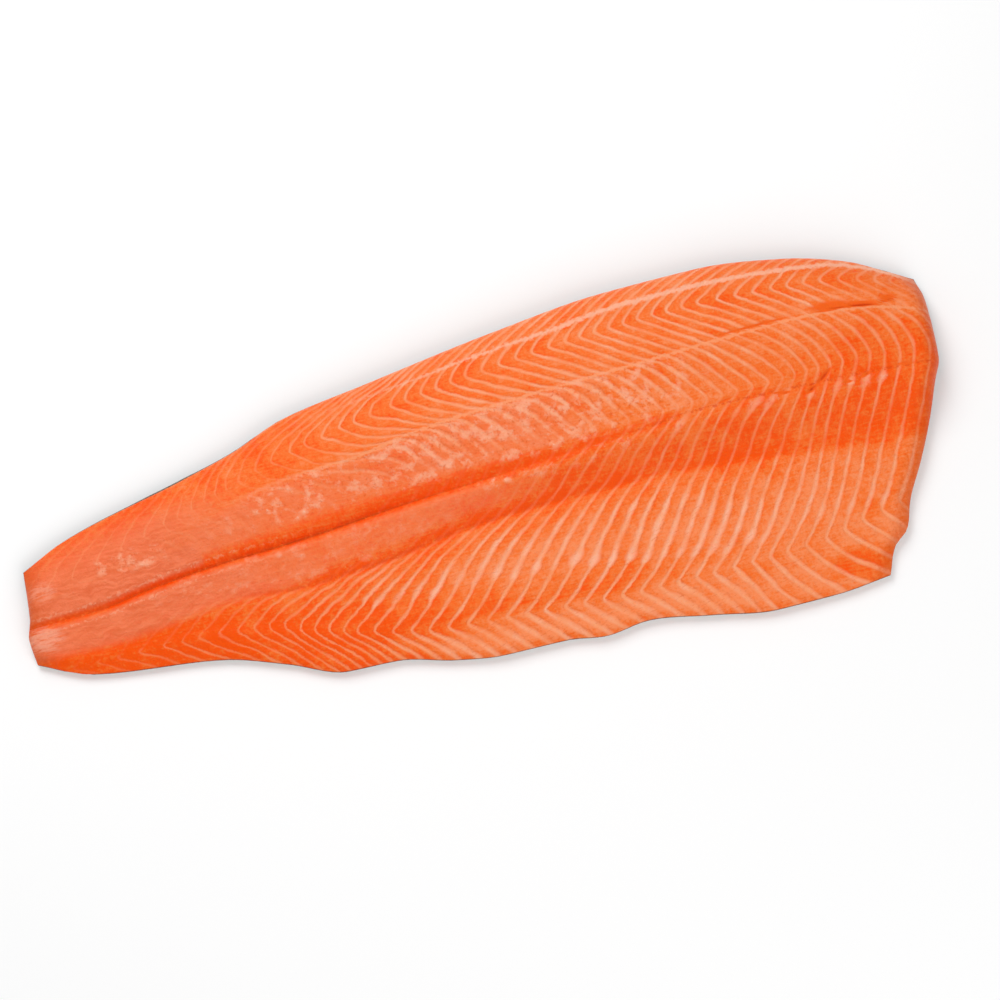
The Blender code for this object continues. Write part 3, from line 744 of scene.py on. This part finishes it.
class Nodes:
    """Short ways to add the nodes of one material."""

    def __init__(self, name):
        self.material = bpy.data.materials.new(name)
        self.material.use_nodes = True
        self.tree = self.material.node_tree
        self.shader = self.tree.nodes["Principled BSDF"]

    def put(self, socket, value):
        """Links a socket, or sets its value."""
        if isinstance(value, bpy.types.NodeSocket):
            self.tree.links.new(value, socket)
        else:
            socket.default_value = value

    def feed(self, node, inputs):
        """Links or sets a node's inputs, by their names with underscores for spaces."""
        for name, value in inputs.items():
            self.put(node.inputs[name.replace("_", " ")], value)
        return node

    def add(self, kind, settings, **inputs):
        """A new node with its settings and inputs."""
        node = self.tree.nodes.new("ShaderNode" + kind)
        for name, value in settings.items():
            setattr(node, name, value)
        return self.feed(node, inputs)

    def surface(self, **inputs):
        """Gives the material's surface its inputs."""
        self.feed(self.shader, inputs)

    def math(self, operation, a, b=0.0, clamp=False):
        node = self.add("Math", {"operation": operation, "use_clamp": clamp})
        self.put(node.inputs[0], a)
        self.put(node.inputs[1], b)
        return node.outputs[0]

    def plus(self, *values):
        """The sum of the values."""
        return reduce(lambda a, b: self.math("ADD", a, b), values)

    def times(self, *values):
        """The product of the values."""
        return reduce(lambda a, b: self.math("MULTIPLY", a, b), values)

    def off(self, *values):
        """How far the sum of the values is from 0."""
        return self.math("ABSOLUTE", self.plus(*values))

    def swing(self, noise, size):
        """The noise as a change either way of 0."""
        return self.times(self.plus(noise, -0.5), size)

    def smooth(self, value, low, high):
        """Goes smoothly from 0 at low to 1 at high. Low can be above high."""
        return self.add("MapRange", {"interpolation_type": "SMOOTHSTEP"},
                        Value=value, From_Min=low, From_Max=high).outputs[0]

    def mix(self, share, a, b):
        node = self.add("Mix", {"data_type": "RGBA", "clamp_factor": True}, Factor=share, A=a, B=b)
        return node.outputs["Result"]

    def cover(self, looks, share, most, over):
        """The looks with a colour over them, at most this strongly."""
        return self.mix(self.times(share, most), looks, over)

    def vector(self, name):
        """The three parts of a vector attribute."""
        node = self.add("Attribute", {"attribute_name": name})
        return self.add("SeparateXYZ", {}, Vector=node.outputs["Vector"]).outputs

    def joined(self, x, y, z=0.0):
        return self.add("CombineXYZ", {}, X=x, Y=y, Z=z).outputs[0]

    def noise(self, where, scale, detail, roughness):
        """Noise around 0.5."""
        node = self.add("TexNoise", {}, Vector=where, Scale=scale, Detail=detail, Roughness=roughness)
        return node.outputs["Fac"]

    def cells(self, where, scale, randomness, feature="F1"):
        """A pattern of cells."""
        return self.add("TexVoronoi", {"feature": feature},
                        Vector=where, Scale=scale, Randomness=randomness)

    def bump(self, value, distance, strength):
        return self.add("Bump", {}, Height=value, Distance=distance, Strength=strength).outputs[0]


def flesh_fields(n):
    """The attributes that the flesh carries, and the noises that its features share."""
    f = SimpleNamespace()
    f.count, f.gap, f.strength = n.vector("layers")
    f.half, f.fatness, f.shade = n.vector("lines")
    f.streak, f.seam, f.centre = n.vector("rows")
    f.film, f.fleck, f.scar = n.vector("spots")
    f.x, f.y, f.crack = n.vector("place")
    f.hollow, f.head, f.tail = n.vector("borders")
    where = n.joined(f.x, f.y)
    f.grain = n.noise(where, 0.75, 3.0, 0.65)
    f.mottle = n.noise(n.joined(f.y, f.x), 0.33, 2.0, 0.6)
    f.cloud = n.noise(where, 0.07, 3.0, 0.6)
    f.speck = n.noise(n.joined(f.x, f.y, 7.0), 0.30, 3.0, 0.62)
    f.lumps = n.noise(n.joined(f.x, f.y, 23.0), 0.14, 4.0, 0.6)
    f.blotch = n.noise(n.joined(n.times(f.count, 2.6), n.times(f.y, 0.2), 3.0), 1.0, 3.0, 0.6)
    f.fibre = n.noise(n.joined(n.times(f.count, 1.1), n.times(f.y, 0.8)), 1.0, 3.0, 0.65)
    ply_height = n.plus(n.times(f.y, 0.42), n.swing(f.cloud, 5.0))
    f.ply = n.noise(n.joined(n.times(f.x, 0.07), ply_height, 31.0), 1.0, 4.0, 0.62)
    return f


def flake_colour(n, f):
    """The orange of the flakes, uneven from place to place, with painted shade across each flake from
    deep beside one fat line to pale beside the next.
    """
    # painted shade across each flake: deep beside one fat line, pale towards the next
    flake_shading = n.plus(n.math("FRACT", f.count), -0.5)
    tint = n.plus(f.shade, n.swing(f.cloud, 1.0), n.swing(f.mottle, 1.3), n.swing(f.grain, 0.9),
                  n.swing(f.fibre, 1.2), n.times(flake_shading, f.strength, 0.6))
    looks = n.mix(n.smooth(tint, -0.2, 0.5), DEEP, PLAIN)
    return n.mix(n.smooth(tint, 0.35, 1.15), looks, PALE)


def with_film(n, f, looks):
    """The thin film over the flakes, in plies along the fillet at the tail."""
    looks = n.mix(n.times(f.film, n.plus(0.6, n.swing(f.cloud, 1.0))), looks, FILM)
    plies = n.mix(n.smooth(f.ply, 0.34, 0.68), TAIL_FILM, TAIL_PLY)
    return n.mix(n.times(f.film, n.smooth(f.x, -90.0, -210.0)), looks, plies)


def with_fat_lines(n, f, looks):
    """The pale lines between the layers, broken here and there, with a painted shadow beside them on
    one side.
    """
    turned = n.plus(n.math("FRACT", n.plus(f.count, 0.5)), -0.5)
    away = n.plus(n.times(n.math("ABSOLUTE", turned), f.gap), n.swing(f.grain, 1.5),
                  n.swing(f.mottle, 1.4))
    soft = n.smooth(away, n.times(f.half, 2.3), n.times(f.half, 0.2))
    whole = n.math("MAXIMUM", n.smooth(f.speck, 0.38, 0.54), n.smooth(f.fleck, 0.9, 0.2))
    whole = n.plus(n.times(whole, 0.6), 0.4)
    line = n.math("MULTIPLY", n.times(soft, f.strength), whole, clamp=True)
    # painted shadow beside each fat line, on one side of it
    line_shadow = n.times(n.smooth(away, n.times(f.half, 1.2), n.times(f.half, 1.9)),
                     n.smooth(away, n.times(f.half, 3.4), n.times(f.half, 1.9)),
                     n.smooth(f.mottle, 0.45, 0.6),
                     n.times(f.strength, n.smooth(turned, -0.4, 0.2)))
    looks = n.cover(looks, line_shadow, 0.5, SHADOW_AND_MARKS)
    fat = n.mix(n.plus(f.fatness, n.swing(f.mottle, 1.2)), FAT, WHITE_FAT)
    return n.mix(line, looks, fat), line


def with_scratches(n, f, looks):
    """Fine deeper marks aslant over the flap."""
    slant_x = n.plus(n.times(f.x, 0.96), n.times(f.y, 0.28))
    slant_y = n.plus(n.times(f.y, 0.96), n.times(f.x, -0.28))
    marks = n.noise(n.joined(n.times(slant_x, 0.22), n.times(slant_y, 1.1)), 1.0, 2.0, 0.6)
    marks = n.times(n.smooth(marks, 0.42, 0.30), n.smooth(f.hollow, 8.0, -8.0),
                    n.smooth(f.x, -180.0, -100.0))
    return n.cover(looks, marks, 0.4, SHADOW_AND_MARKS)


def with_long_lines(n, f, looks):
    """The streak of fat inside the back edge, and the seam along the loin."""
    streak = n.plus(n.math("ABSOLUTE", f.streak), n.swing(f.speck, 6.0), n.smooth(f.x, 120.0, -60.0))
    streak = n.times(n.smooth(streak, 2.6, 0.6), n.smooth(f.x, -130.0, 20.0))
    looks = n.cover(looks, streak, 0.8, WHITE_FAT)
    seam = n.plus(n.math("ABSOLUTE", f.seam), n.swing(f.speck, 4.5))
    seam = n.times(n.smooth(seam, 1.4, 0.3), n.smooth(f.x, -180.0, -60.0))
    return n.cover(looks, seam, 0.8, FAT)


def with_flecks(n, f, looks, line):
    """Whitish flecks, with pits and painted glints between them."""
    flecks = n.plus(n.times(f.blotch, 0.25), n.times(f.lumps, 0.75), n.times(line, 0.05),
                    n.times(f.fleck, 0.05))
    flecks = n.times(n.smooth(flecks, 0.515, 0.68), n.smooth(f.fleck, 0.02, 0.6))
    looks = n.cover(looks, flecks, 0.8, FLECK_AND_HIGHLIGHT)
    pits = n.times(n.smooth(f.mottle, 0.40, 0.32), n.smooth(f.fleck, 0.1, 0.6))
    looks = n.cover(looks, pits, 0.4, SHADOW_AND_MARKS)
    # painted glints: small highlights among the flecks
    glint = n.plus(n.times(f.mottle, 0.6), n.times(f.lumps, 0.4))
    glint = n.times(n.smooth(glint, 0.60, 0.74), n.smooth(f.fleck, 0.05, 0.5))
    return n.cover(looks, glint, 0.5, GLINT), flecks


def with_grooves(n, f, looks):
    """Painted shade in the centre groove, along a crease towards the head and deep in it towards the
    tail, a painted highlight on its lips there, and painted shade in the groove above the flap."""
    # painted shade along the crease towards the head
    crease_shade = n.times(n.smooth(n.off(f.centre, n.swing(f.speck, 4.0), -1.0), 1.3, 0.3),
                     n.smooth(f.x, 60.0, 110.0), n.smooth(f.speck, 0.44, 0.58))
    looks = n.cover(looks, crease_shade, 0.7, CRACK_SHADE)
    # painted shade in the centre groove towards the tail
    groove = n.times(n.smooth(n.off(f.centre, -0.6, n.swing(f.mottle, 3.0)), 3.2, 0.4),
                     n.smooth(f.x, -20.0, -100.0), n.smooth(f.speck, 0.36, 0.52))
    looks = n.cover(looks, groove, 0.75, GROOVE_SHADE)
    # painted highlight along the groove's lips towards the tail
    lip = n.off(n.off(f.centre, 0.5, n.swing(f.speck, 7.0)), -4.6)
    lip = n.times(n.smooth(lip, 0.9, 0.2),
                  n.times(n.smooth(f.x, -90.0, -200.0), n.smooth(f.mottle, 0.44, 0.56)))
    looks = n.cover(looks, lip, 0.45, FLECK_AND_HIGHLIGHT)
    # painted shade in the groove above the flap
    lower = n.times(n.smooth(n.off(f.hollow, -0.8, n.swing(f.mottle, 3.0)), 2.0, 0.2),
                    n.smooth(f.x, -190.0, -110.0), n.smooth(f.x, 110.0, -60.0),
                    n.smooth(f.speck, 0.40, 0.54))
    return n.cover(looks, lower, 0.6, GROOVE_SHADE)


def with_ends(n, f, looks):
    """Painted shade towards the cut ends, the pale strands at the tail, and the opened cracks with
    painted shade where they cut deepest.
    """
    # painted shade towards the head and tail ends
    wander = n.swing(f.mottle, 14.0)
    end = n.plus(n.smooth(n.plus(f.head, wander), 15.0, 1.0),
                 n.smooth(n.plus(f.tail, wander), 14.0, 1.0))
    looks = n.cover(looks, end, 0.55, END_SHADE)
    strands = n.noise(n.joined(n.times(f.x, 0.10), n.times(f.y, 0.5)), 1.0, 3.0, 0.7)
    strands = n.times(f.scar, n.smooth(n.plus(strands, n.times(f.scar, 0.2)), 0.5, 0.72))
    looks = n.cover(looks, strands, 0.75, STRAND)
    looks = n.mix(n.smooth(f.crack, 0.05, 0.5), looks, OPENED)
    # painted shade where the cracks cut deepest
    return n.mix(n.smooth(f.crack, 0.7, 1.4), looks, CRACK_SHADE)


def flesh_material():
    """Raw salmon: orange flakes, pale fat lines between them, thin film, flecks and cracks, with
    painted shade and painted glints in its colour.
    """
    n = Nodes("salmon_flesh")
    f = flesh_fields(n)
    looks = with_film(n, f, flake_colour(n, f))
    looks, line = with_fat_lines(n, f, looks)
    looks = with_long_lines(n, f, with_scratches(n, f, looks))
    looks, flecks = with_flecks(n, f, looks, line)
    looks = with_ends(n, f, with_grooves(n, f, looks))
    bumps = n.plus(n.times(f.grain, 0.7), n.times(f.fibre, 0.6), n.times(f.mottle, 0.8),
                   n.times(f.film, f.ply, 0.4), n.times(line, -0.2), n.times(flecks, 0.3))
    n.surface(Base_Color=looks,
              Roughness=n.plus(0.36, n.swing(f.grain, 0.25), n.times(f.film, -0.05)),
              Specular_IOR_Level=0.09, Subsurface_Weight=0.1, Subsurface_Radius=(1.0, 0.4, 0.15),
              Subsurface_Scale=0.002, Normal=n.bump(bumps, 0.0009, 0.8))
    return n.material


def skin_material():
    """Salmon skin: dark blue-grey back with spots, silver flank and white belly, in small scales."""
    n = Nodes("salmon_skin")
    x, y, down = n.vector("place")
    rim, _, _ = n.vector("border")
    where = n.joined(x, y)
    grain = n.noise(where, 0.5, 3.0, 0.6)
    cloud = n.noise(where, 0.04, 3.0, 0.6)
    staggered = n.joined(n.plus(n.times(x, 0.24), n.times(y, 0.16)), n.times(y, 0.32))
    scales = n.cells(staggered, 1.0, 0.35)
    sheen = n.add("SeparateColor", {}, Color=scales.outputs["Color"]).outputs["Red"]
    borders = n.cells(staggered, 1.0, 0.35, "DISTANCE_TO_EDGE")
    scale_edge = n.smooth(borders.outputs["Distance"], 0.13, 0.03)
    spots = n.smooth(n.cells(where, 0.055, 1.0).outputs["Distance"], 0.17, 0.10)
    spots = n.times(spots, n.smooth(down, 0.42, 0.25))

    at = n.plus(down, n.swing(cloud, 0.12))
    looks = n.mix(n.smooth(at, 0.08, 0.42), SKIN_BACK, SKIN_FLANK)
    looks = n.mix(n.smooth(at, 0.45, 0.72), looks, SKIN_BELLY)
    looks = n.cover(looks, spots, 0.8, SKIN_SPOT)
    looks = n.cover(looks, n.smooth(n.off(down, -0.47), 0.007, 0.002), 0.45, LATERAL_LINE)
    looks = n.cover(looks, scale_edge, 0.35, SCALE_EDGE)
    # painted sheen: each scale lighter by a random amount
    looks = n.cover(looks, sheen, 0.12, SHEEN)
    looks = n.cover(looks, rim, 0.85, n.mix(n.smooth(down, 0.5, 0.8), SKIN_EDGE, BELLY_RIND))
    bumps = n.plus(n.times(grain, 0.2), n.times(scale_edge, -1.0))
    n.surface(Base_Color=looks, Metallic=0.3, Roughness=n.plus(0.3, n.swing(grain, 0.25)),
              Normal=n.bump(bumps, 0.0004, 0.6))
    return n.material


def floor_material():
    """A plain pale floor."""
    n = Nodes("pale_floor")
    n.surface(Base_Color=FLOOR, Roughness=0.9, Specular_IOR_Level=0.1)
    return n.material


def add_floor():
    """A floor just under the fillet."""
    side = FLOOR_HALF_SIDE
    mesh = bpy.data.meshes.new("floor")
    corners = [(-side, -side, 0), (side, -side, 0), (side, side, 0), (-side, side, 0)]
    mesh.from_pydata(corners, [], [(0, 1, 2, 3)])
    mesh.materials.append(floor_material())
    floor = bpy.data.objects.new("floor", mesh)
    floor.location.z = -FLOOR_DROP
    bpy.context.scene.collection.objects.link(floor)


def add_light(name, place, size, power):
    """A square area light that points at the fillet."""
    light = bpy.data.lights.new(name, "AREA")
    light.shape = "SQUARE"
    light.size = size
    light.energy = power
    lamp = bpy.data.objects.new(name, light)
    lamp.location = place
    lamp.rotation_euler = (-Vector(place)).to_track_quat("-Z", "Y").to_euler()
    bpy.context.scene.collection.objects.link(lamp)


def add_studio():
    """Soft light from above and behind, a weak fill, and a pale surround."""
    add_light("key", *KEY_LIGHT)
    add_light("fill", *FILL_LIGHT)
    world = bpy.data.worlds.new("surround")
    world.use_nodes = True
    background = world.node_tree.nodes["Background"]
    background.inputs["Color"].default_value = (1.0, 1.0, 1.0, 1.0)
    background.inputs["Strength"].default_value = SURROUND_LIGHT
    bpy.context.scene.world = world
    bpy.context.scene.view_settings.view_transform = "Standard"


def add_camera():
    """The photograph's view, nearly straight down."""
    azimuth, up = np.radians(CAMERA_AZIMUTH), np.radians(CAMERA_HEIGHT)
    back = Vector((np.sin(azimuth) * np.cos(up), -np.cos(azimuth) * np.cos(up), np.sin(up)))
    lens = bpy.data.cameras.new("camera")
    lens.lens = CAMERA_LENS
    lens.clip_end = 20.0
    camera = bpy.data.objects.new("camera", lens)
    camera.location = Vector(CAMERA_AIM) + back * CAMERA_DISTANCE
    camera.rotation_euler = (-back).to_track_quat("-Z", "Y").to_euler()
    bpy.context.scene.collection.objects.link(camera)
    bpy.context.scene.camera = camera


def main():
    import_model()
    low_corner, high_corner = (np.array(corner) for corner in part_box("fillet"))
    middle = 0.5 * (low_corner + high_corner) * (1, 1, 0)
    flesh = build_flesh(middle)
    flesh.data.materials.append(flesh_material())
    skin = build_skin(middle)
    skin.data.materials.append(skin_material())
    for piece in (flesh, skin):
        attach(piece, "root")
        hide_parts("fillet")
    add_floor()
    add_studio()
    add_camera()


main()
